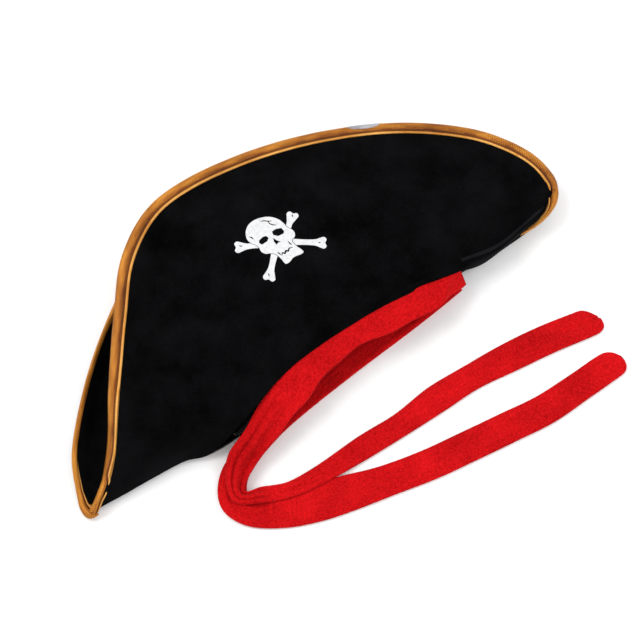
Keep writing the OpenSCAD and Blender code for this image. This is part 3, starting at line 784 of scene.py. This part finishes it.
def plush_strip(name, g, half):
    """Folded plush: two soft layers with fat rolled edges."""
    n = upward_normals(g)
    v = np.linspace(-1, 1, g.shape[1])
    fat = half * (1 - 0.12 * (1 - v**2)) * np.sqrt(np.clip(1 - np.abs(v) ** 9, 0.0, 1))
    rows = np.arange(len(g))
    from_end = np.minimum(rows, rows[::-1])
    thick = (1 - 0.08 * smooth(1 - from_end / 6.0) - 0.45 * (from_end == 0))[:, None]
    fuzz = 0.12 * value_noise(g, 3.2, 21)
    over = g + n * ((fat + fuzz) * thick)[..., None]
    under = g - n * (fat * thick)[..., None]
    rings = np.concatenate([over, under[:, ::-1][:, 1:-1]], axis=1)
    return closed_sweep(name, rings, [RED])


def long_folds(s, v, folds):
    """Soft folds along a strip: each has a height, a place across, a drift, a width and a beat."""
    total = np.zeros_like(s)
    for height, place, drift, width, beat in folds:
        swing = place + drift * np.sin(s / beat)
        total += height * (0.65 + 0.35 * np.sin(s / beat * 1.7 + place * 9)) * bump(v, swing, width)
    return total


# Distances along the front strip: its cuff, the end of its run and the start of its tail.
CUFF = 292
BAND_END = 330
TAIL_START = 322
# The back strip is cut this much further along.
BACK_CUT_LATER = 30
BAND_HALF = 1.35
TAIL_HALF = 1.3


def front_strip():
    """Front run and upper tail as one strip: ridges gather towards the cuff, then run out along the tail."""
    g, s, v = strip_grid(FRONT_STRIP_SEWN, FRONT_STRIP_FREE, 44)
    n = upward_normals(g)
    gathered = smooth((s - 150) / 110) * (1 - smooth((s - CUFF) / 16))
    ridges = (3.4 * bump(v, 0.5, 0.1) - 2.2 * bump(v, 0.74, 0.1)
              + 2.0 * bump(v, 0.2, 0.08) - 1.3 * bump(v, 0.35, 0.06))
    cuff = 2.2 * bump(s, CUFF, 7) - 1.0 * bump(s, CUFF + 13, 6)
    out = smooth((s - CUFF - 8) / 30)
    tail = long_folds(s, v, [
        (2.2, 0.7, 0.06, 0.12, 60), (1.7, 0.24, 0.08, 0.11, 85), (-0.7, 0.46, 0.05, 0.08, 70)])
    drape = 0.7 * value_noise(g, 34, 31) + 0.4 * value_noise(g, 15, 32)
    on_rim = 1 - smooth((s - 300) / 60)
    lift = ridges * gathered + cuff + tail * out + drape * (0.3 + 0.7 * on_rim)
    calm = smooth(s / 14)
    corner = 2.4 * np.exp(-((s - 13 - 16 * v) / 4.5) ** 2) * smooth(v / 0.3)
    lift = lift + corner
    g = g + n * ((np.maximum(lift, -0.2) * (1 - on_rim) + lift * on_rim) * calm)[..., None]
    wave = 1.7 * np.sin(s / 15.5 + 0.6) + 0.9 * np.sin(s / 7.3)
    g[..., 1] += wave * v**3 * smooth(s / 24) * (1 - smooth((s - 150) / 80))
    return g, s


def back_strip():
    """Back run and lower tail as one strip; it lies flat, with a few soft folds."""
    g, s, v = strip_grid(BACK_STRIP_SEWN, BACK_STRIP_FREE, 44)
    bend = smooth((s - 200) / 60)
    folds = long_folds(s, v, [
        (1.9, 0.28, 0.08, 0.11, 75), (1.6, 0.74, 0.07, 0.11, 58), (0.8, 0.5, 0.1, 0.07, 90)])
    rise = 0.5 * np.abs(value_noise(g, 30, 41)) + np.maximum(folds, -0.1) * (0.35 + 0.65 * bend)
    g[..., 2] += 0.1 + rise * smooth(s / 14)
    return g, s


def parted(g, s, end, start):
    """The two pieces of a strip: up to end, and from start, so that they overlap."""
    along_strip = s[:, 0]
    return g[along_strip <= end], g[along_strip >= start]


front_band_grid, upper_grid = parted(*front_strip(), BAND_END, TAIL_START)
back_band_grid, lower_grid = parted(
    *back_strip(), BAND_END + BACK_CUT_LATER, TAIL_START + BACK_CUT_LATER)
band_front = plush_strip("scarf_front_run", front_band_grid, BAND_HALF)
band_back = plush_strip("scarf_back_run", back_band_grid, BAND_HALF)
tail_upper = plush_strip("scarf_tail_upper_strip", upper_grid, TAIL_HALF)
tail_lower = plush_strip("scarf_tail_lower_strip", lower_grid, TAIL_HALF)


# ---- skull print
def cubic_loop(points, steps=6):
    """A closed smooth line through the points."""
    p = np.asarray(points, float)
    n = len(p)
    out = []
    for i in range(n):
        a, b, c, d = p[i - 1], p[i], p[(i + 1) % n], p[(i + 2) % n]
        for f in np.arange(steps) / steps:
            out.append(cubic(a, b, c, d, f))
    return np.array(out)


def bone_loop(a, b, shaft=2.5):
    """Outline of one bone end, from its root under the skull to its two knobs."""
    a, b = np.array(a, float), np.array(b, float)
    way = (b - a) / np.linalg.norm(b - a)
    side = np.array([-way[1], way[0]])
    length = np.linalg.norm(b - a)
    half = [
        (0, -shaft), (length * 0.45, -shaft * 0.95), (length - 8, -shaft * 1.1),
        (length - 3.5, -shaft - 1.8), (length - 0.5, -shaft - 2.6), (length + 1.6, -shaft - 0.6),
    ]
    local = [*half, (length + 0.6, 0), *((x, -y) for x, y in half[::-1])]
    return cubic_loop([a + way * x + side * y for x, y in local], 5)


def distance(points, loop):
    """Signed distance from points to a closed outline: negative inside."""
    p = points[:, None, :]
    a = loop[None, :, :]
    b = np.roll(loop, -1, 0)[None, :, :]
    ab = b - a
    h = np.clip(((p - a) * ab).sum(-1) / np.maximum((ab * ab).sum(-1), 1e-9), 0, 1)
    far = np.linalg.norm(p - a - ab * h[..., None], axis=-1).min(axis=1)
    crosses = ((a[..., 1] > p[..., 1]) != (b[..., 1] > p[..., 1]))
    span = np.where(np.abs(ab[..., 1]) < 1e-9, 1e-9, ab[..., 1])
    at = a[..., 0] + (p[..., 1] - a[..., 1]) * ab[..., 0] / span
    inside = (crosses & (p[..., 0] < at)).sum(axis=1) % 2 == 1
    return np.where(inside, -far, far)


def stroke(points, line, width):
    """Distance to a line drawn with a pen that is widest in the middle."""
    line = np.asarray(line, float)
    best = np.full(len(points), 1e3)
    last = len(line) - 1
    for k in range(last):
        a, b = line[k], line[k + 1]
        h = np.clip((points - a) @ (b - a) / ((b - a) @ (b - a)), 0, 1)
        far = np.linalg.norm(points - a - h[:, None] * (b - a), axis=1)
        along_line = (k + h) / last
        pen = width * (0.35 + 0.65 * np.sin(np.pi * np.clip(along_line, 0.02, 0.98)))
        best = np.minimum(best, far - pen)
    return best


# The motif, in millimetres about its own middle.
SKULL = [
    (-17.4, 17.6), (-13.4, 22.2), (-7.6, 24.6), (-0.2, 24.3), (7.2, 21.2), (12.2, 15.6), (14.3, 9.4),
    (14.7, 4.6), (16.8, 1.0), (17.3, -3.0), (15.4, -6.2), (12.2, -7.4), (11.5, -9.8), (12.5, -14.4),
    (14.8, -20.4), (12.4, -21.9), (5.4, -21.2), (0.2, -23.0), (-3.6, -22.6), (-4.5, -17.0),
    (-6.2, -11.6), (-9.4, -8.6), (-12.8, -6.8), (-14.8, -3.0), (-14.5, 1.0), (-15.5, 4.8),
    (-17.6, 7.6), (-18.9, 12.2),
]
RIGHT_SOCKET = [(1.4, 4.6), (2.1, 8.0), (6.0, 8.4), (10.3, 6.7), (10.8, 2.7), (9.0, 1.1), (4.1, 1.6)]
LEFT_SOCKET = [(-12.2, 4.6), (-11.0, 6.7), (-6.9, 7.9), (-3.9, 7.1), (-3.3, 4.4), (-5.7, 2.3), (-11.0, 2.1)]
NOSE = [(-0.3, 2.5), (1.3, -1.4), (3.5, -4.2), (1.0, -3.6), (-0.9, -4.8), (-1.3, -1.1)]
TEETH = [(-2.4, -14.9), (-0.6, -13.2), (0.7, -14.9), (2.6, -13.2), (4.2, -14.4), (6.0, -12.6), (8.8, -13.4)]
CRACKS = [
    [(-1.6, 21.6), (2.0, 20.0), (4.4, 18.0), (7.6, 16.4)],
    [(4.2, 18.0), (4.4, 15.2), (6.4, 12.6), (8.4, 11.4)],
    [(-16.4, 14.0), (-14.9, 12.4), (-14.4, 10.2)],
    [(8.6, -6.8), (8.9, -9.4), (9.4, -11.2)],
    [(-3.8, -10.6), (-3.3, -12.6), (-3.0, -14.4)],
]
BONES = [
    ((-9, 1.2), (-30.0, 11.1)), ((10, -0.6), (25.2, 12.6)),
    ((8, -7.2), (33.9, -23.0)), ((-5, -9), (-22.1, -27.1)),
]
KNOB_MARKS = [
    [(-27.4, 11.4), (-25.6, 9.4)], [(24.6, 12.6), (23.4, 10.4)],
    [(31.4, -21.0), (29.4, -20.6)], [(-20.6, -25.4), (-20.0, -22.8)],
]
MOTIF_STEP = 0.3
PRINT_CENTRE = (3.0, 75.0)


def motif_field(points):
    """Negative where there is white film."""
    skull = distance(points, cubic_loop(SKULL))
    holes = np.minimum(distance(points, np.array(RIGHT_SOCKET)), distance(points, np.array(LEFT_SOCKET)))
    holes = np.minimum(holes, distance(points, np.array(NOSE)))
    holes = np.minimum(holes, stroke(points, TEETH, 0.7))
    for line in CRACKS:
        holes = np.minimum(holes, stroke(points, line, 0.5))
    head = np.maximum(skull, -holes)
    bones = np.full(len(points), 1e3)
    for root, tip in BONES:
        bones = np.minimum(bones, distance(points, bone_loop(root, tip)))
    for line in KNOB_MARKS:
        bones = np.maximum(bones, -stroke(points, line, 0.45))
    return np.minimum(head, np.maximum(bones, 0.42 - skull))


def motif_cells():
    """Square cells that fill the motif, with their outer corners moved onto its outline."""
    xs = np.arange(-36, 40, MOTIF_STEP)
    ys = np.arange(-34, 28, MOTIF_STEP)
    x, y = np.meshgrid(xs, ys, indexing="ij")
    p = np.stack([x.ravel(), y.ravel()], -1)
    d = motif_field(p)
    field = d.reshape(x.shape)
    gx, gy = np.gradient(field, MOTIF_STEP)
    g = np.stack([gx.ravel(), gy.ravel()], -1)
    g /= np.maximum(np.linalg.norm(g, axis=1, keepdims=True), 0.3)
    near = np.abs(d) < 0.72 * MOTIF_STEP
    p = np.where(near[:, None], p - g * d[:, None], p)
    kept = (d <= 0) | near
    nj = len(ys)
    i, j = np.meshgrid(np.arange(len(xs) - 1), np.arange(nj - 1), indexing="ij")
    a = (i * nj + j).ravel()
    cells = np.stack([a, a + nj, a + nj + 1, a + 1], -1)
    whole = kept[cells].all(axis=1) & (d[cells].mean(axis=1) < 0.0)
    cells = cells[whole]
    used = np.unique(cells)
    renumber = np.zeros(len(p), int)
    renumber[used] = np.arange(len(used))
    return p[used], renumber[cells]


def flap_tree():
    """The front flap's outer face, to lay the print on."""
    n = grid_normals(FLAP)
    outer = FLAP + n * CLOTH_HALF
    ni, nj = outer.shape[:2]
    return BVHTree.FromPolygons([Vector(v) for v in outer.reshape(-1, 3)], grid_quads(ni, nj, 0).tolist())


def skull_print():
    points, cells = motif_cells()
    tree = flap_tree()
    top, bottom = [], []
    for x, y in points:
        above = Vector((PRINT_CENTRE[0] + x, PRINT_CENTRE[1] + y, 200))
        hit, normal, _, _ = tree.ray_cast(above, Vector((0, 0, -1)))
        normal = normal if normal.z > 0 else -normal
        top.append(hit + normal * 0.42)
        bottom.append(hit + normal * 0.06)
    count = len(points)
    edges = {}
    for cell in cells:
        for k in range(4):
            a, b = int(cell[k]), int(cell[(k + 1) % 4])
            edges[(a, b)] = edges.get((b, a), 0) + 1
    walls = [(b, a, a + count, b + count) for (a, b) in edges if (b, a) not in edges]
    faces = cells.tolist() + (cells[:, ::-1] + count).tolist() + walls
    return mesh_object("skull_motif", np.array([tuple(v) for v in top + bottom]), faces, [PRINT])


motif = skull_print()


# ---- stitches
THREAD_STEPS = 6
THREAD_SIDES = 6


def thread_pieces(name, starts, ends, rises, radius, material):
    """Short bowed threads from each start to each end, which rise in the middle."""
    verts, faces = [], []
    for a, b, rise in zip(starts, ends, rises):
        way = unit(b - a)
        side = unit(np.cross(way, unit(rise)))
        up = unit(rise)
        first = len(verts)
        for k in range(THREAD_STEPS + 1):
            f = k / THREAD_STEPS
            centre = a + (b - a) * f + rise * math.sin(math.pi * f)
            r = radius * (0.45 + 0.55 * math.sin(math.pi * min(max(f, 0.08), 0.92)))
            for q in range(THREAD_SIDES):
                angle = q * math.pi / 3
                verts.append(centre + side * r * math.cos(angle) + up * r * math.sin(angle))
        for k in range(THREAD_STEPS):
            ring = first + k * THREAD_SIDES
            for q in range(THREAD_SIDES):
                a0, b0 = ring + q, ring + (q + 1) % THREAD_SIDES
                faces.append((a0, b0, b0 + THREAD_SIDES, a0 + THREAD_SIDES))
        faces.append([first + q for q in reversed(range(THREAD_SIDES))])
        faces.append([first + THREAD_STEPS * THREAD_SIDES + q for q in range(THREAD_SIDES)])
    return mesh_object(name, np.array(verts), faces, [material])


def groove_stitches(name, run, narrowing):
    """One stitch in each dimple of the braid's groove, on both faces, where the braid has its full width."""
    path, way, out, up, at = braid_frames(run)
    width, _ = narrowed(at, narrowing)
    starts, ends, rises = [], [], []
    for s in np.arange(DIMPLE_PITCH, at[-1], DIMPLE_PITCH):
        k = int(np.searchsorted(at, s))
        if width[k] < 0.97:
            continue
        for face in (1, -1):
            side = up[k] * face
            foot = path[k] - out[k] * GROOVE_INSET + side * 2.0
            starts.append(foot - way[k] * 0.95)
            ends.append(foot + way[k] * 0.95)
            rises.append(side * 0.24)
    return thread_pieces(name, starts, ends, rises, 0.24, THREAD_GOLD)


def seam_stitches(name, grid, row, count, length, lift, material, ends=(0.1, 0.9), across=False):
    """Stitches on one row of a grid."""
    n = grid_normals(grid)
    starts, stops, rises = [], [], []
    for t in np.linspace(ends[0], ends[1], count):
        i = int(t * (grid.shape[0] - 2))
        here = grid[i, row]
        way = grid[i, row - 2] - here if across else grid[i + 1, row] - here
        up = n[i, row] * lift
        starts.append(here + up)
        stops.append(here + up + unit(way) * length)
        rises.append(unit(n[i, row]) * 0.3 * np.sign(lift))
    return thread_pieces(name, starts, stops, rises, 0.26, material)


stitches_front = groove_stitches("edge_stitches_front", front_run, FRONT_NARROWING)
stitches_back = groove_stitches("edge_stitches_back", back_run, BACK_NARROWING)
rim_front = seam_stitches("rim_stitches_front", crown_front_grid, 2, 40, 3.4, -0.75, THREAD_BLACK, (0.1, 0.9))
rim_back = seam_stitches("rim_stitches_back", crown_back_grid, 2, 40, 3.4, 0.75, THREAD_BLACK, (0.1, 0.9))
top_seam = seam_stitches(
    "crown_seam_stitches", crown_front_grid, -1, 60, 3.2, 0.7, THREAD_BLACK, (0.05, 0.95), across=True)
tack = seam_stitches(
    "scarf_tack_threads", front_band_grid[-26:-4], 8, 3, 4.0, 1.4, THREAD_RED, (0.2, 0.8), across=True)


# ---- worn joint of the braid
def braid_join(run, centre_share, length):
    """A ragged silvery wrap over the outer bead, where the braid's two ends overlap."""
    path, _, out, side, at = braid_frames(run)
    middle = centre_share * at[-1]
    chosen = np.nonzero(np.abs(at - middle) < length / 2)[0]
    upper = np.array([p for p in FACE if p[0] > -5.0])
    arc = np.concatenate([upper[::-1], upper[1:2] * np.array([1, -1])])
    rings = []
    for k in chosen:
        place = (at[k] - middle) / (length / 2)
        fade = np.sqrt(max(1 - place * place, 0.02))
        ragged = 0.72 + 0.28 * noise.noise(Vector((at[k] / 1.3, 3.1, 0)))
        points = resampled_arc(arc, max(0.12, fade * ragged))
        outward = unit(points - np.array([-1.5, 0]))
        rib = 0.14 * math.cos(2 * math.pi * at[k] / 1.1)
        ring2d = np.concatenate([
            points + outward * (0.42 + rib + 0.1 * fade), (points - outward * 0.25)[::-1]])
        rings.append([path[k] + out[k] * q[0] + side[k] * q[1] for q in ring2d])
    return closed_sweep("edge_braid_join", np.array(rings), [WORN])


def resampled_arc(arc, share):
    """The middle share of an arc, as a fixed number of points."""
    lengths = distances_along(arc)
    lo, hi = 0.5 * (1 - share), 0.5 * (1 + share)
    at = np.linspace(lo, hi, 14) * lengths[-1]
    return np.stack([np.interp(at, lengths, arc[:, c]) for c in range(2)], -1)


join = braid_join(front_run, 0.656, 27)


# ---- what each piece rides on and stands for
for piece in (front_velvet, front_lining, front_stiff, braid_front, stitches_front, join):
    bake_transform(piece)
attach(motif, "front_flap")
for piece in (back_velvet, back_lining, back_stiff, braid_back, stitches_back, crown_front, crown_back,
              sweatband, rim_front, rim_back, top_seam, tack, band_front, band_back):
    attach(piece, "hat")
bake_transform(tail_upper)
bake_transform(tail_lower)

STANDS_FOR = [
    (front_velvet, "velvet", ["brim_front_velvet", "brim_fold"]),
    (front_lining, "velvet", ["brim_front_lining"]),
    (front_stiff, "interlining", ["brim_front_interlining"]),
    (back_velvet, "velvet", ["brim_back_velvet"]),
    (back_lining, "velvet", ["brim_back_lining"]),
    (back_stiff, "interlining", ["brim_back_interlining"]),
    (braid_front, "braid", ["braid_front"]),
    (braid_back, "braid", ["braid_back"]),
    (join, "braid_worn", ["braid_join"]),
    (stitches_front, "gold_thread", ["braid_stitches_front"]),
    (stitches_back, "gold_thread", ["braid_stitches_back"]),
    (crown_front, "velvet", ["crown_front"]),
    (crown_back, "velvet", ["crown_back"]),
    (top_seam, "black_thread", ["crown_top_stitches"]),
    (sweatband, "sweatband", ["sweatband"]),
    (rim_front, "black_thread", ["rim_stitches"]),
    (rim_back, "black_thread", ["rim_stitches"]),
    (motif, "print", ["skull_print"]),
    (band_front, "plush", ["scarf_band_front"]),
    (band_back, "plush", ["scarf_band_back"]),
    (tail_upper, "plush", ["scarf_tail_upper"]),
    (tail_lower, "plush", ["scarf_tail_lower"]),
    (tack, "red_thread", ["scarf_tack_stitches"]),
]
for piece, slot, nodes in STANDS_FOR:
    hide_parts(*nodes)
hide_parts("brim_fold")


# ---- floor, light and camera
def floor_material():
    m, nodes, links, bsdf = new_material("floor_pale")
    grain = textured(nodes, links, "ShaderNodeTexNoise", 60.0, Detail=3.0)
    coloured(nodes, links, bsdf, grain.outputs["Fac"], [
        (0.3, (0.9, 0.9, 0.9)), (0.7, (0.93, 0.93, 0.93))])
    bsdf.inputs["Roughness"].default_value = 0.9
    bsdf.inputs["Specular IOR Level"].default_value = 0.1
    return m


def add_floor():
    bpy.ops.mesh.primitive_plane_add(size=8, location=(0, 0, -0.0002))
    plane = bpy.context.object
    plane.name = "floor"
    plane.data.materials.append(floor_material())


def area_light(name, place, size, power, target=(0, 0, 0.02)):
    data = bpy.data.lights.new(name, "AREA")
    data.shape = "DISK"
    data.size = size
    data.energy = power
    lamp = bpy.data.objects.new(name, data)
    lamp.location = place
    lamp.rotation_euler = (Vector(target) - Vector(place)).to_track_quat("-Z", "Y").to_euler()
    bpy.context.scene.collection.objects.link(lamp)


def add_camera(aim, azimuth, elevation, distance, width):
    """Looks at aim from the front right of the hat, from high up; width is what it sees at that distance."""
    a, e = math.radians(azimuth), math.radians(elevation)
    look = Vector((-math.sin(a) * math.cos(e), math.cos(a) * math.cos(e), -math.sin(e)))
    data = bpy.data.cameras.new("camera")
    data.sensor_width = 36
    data.lens = 36 * distance / width
    cam = bpy.data.objects.new("camera", data)
    cam.location = Vector(aim) - look * distance
    cam.rotation_euler = look.to_track_quat("-Z", "Y").to_euler()
    bpy.context.scene.collection.objects.link(cam)
    bpy.context.scene.camera = cam


def light_world():
    world = bpy.data.worlds.new("studio")
    world.use_nodes = True
    background = world.node_tree.nodes["Background"]
    background.inputs["Color"].default_value = (1, 1, 1, 1)
    background.inputs["Strength"].default_value = 1.0
    bpy.context.scene.world = world


add_floor()
light_world()
area_light("key", (-0.7, 0.8, 1.6), 1.3, 17)
area_light("fill", (1.0, -0.8, 1.3), 1.4, 8)
add_camera((0.006, 0.0095, 0.020), -31.9, 68, 1.5, 0.5325)
bpy.context.scene.view_settings.view_transform = "Standard"
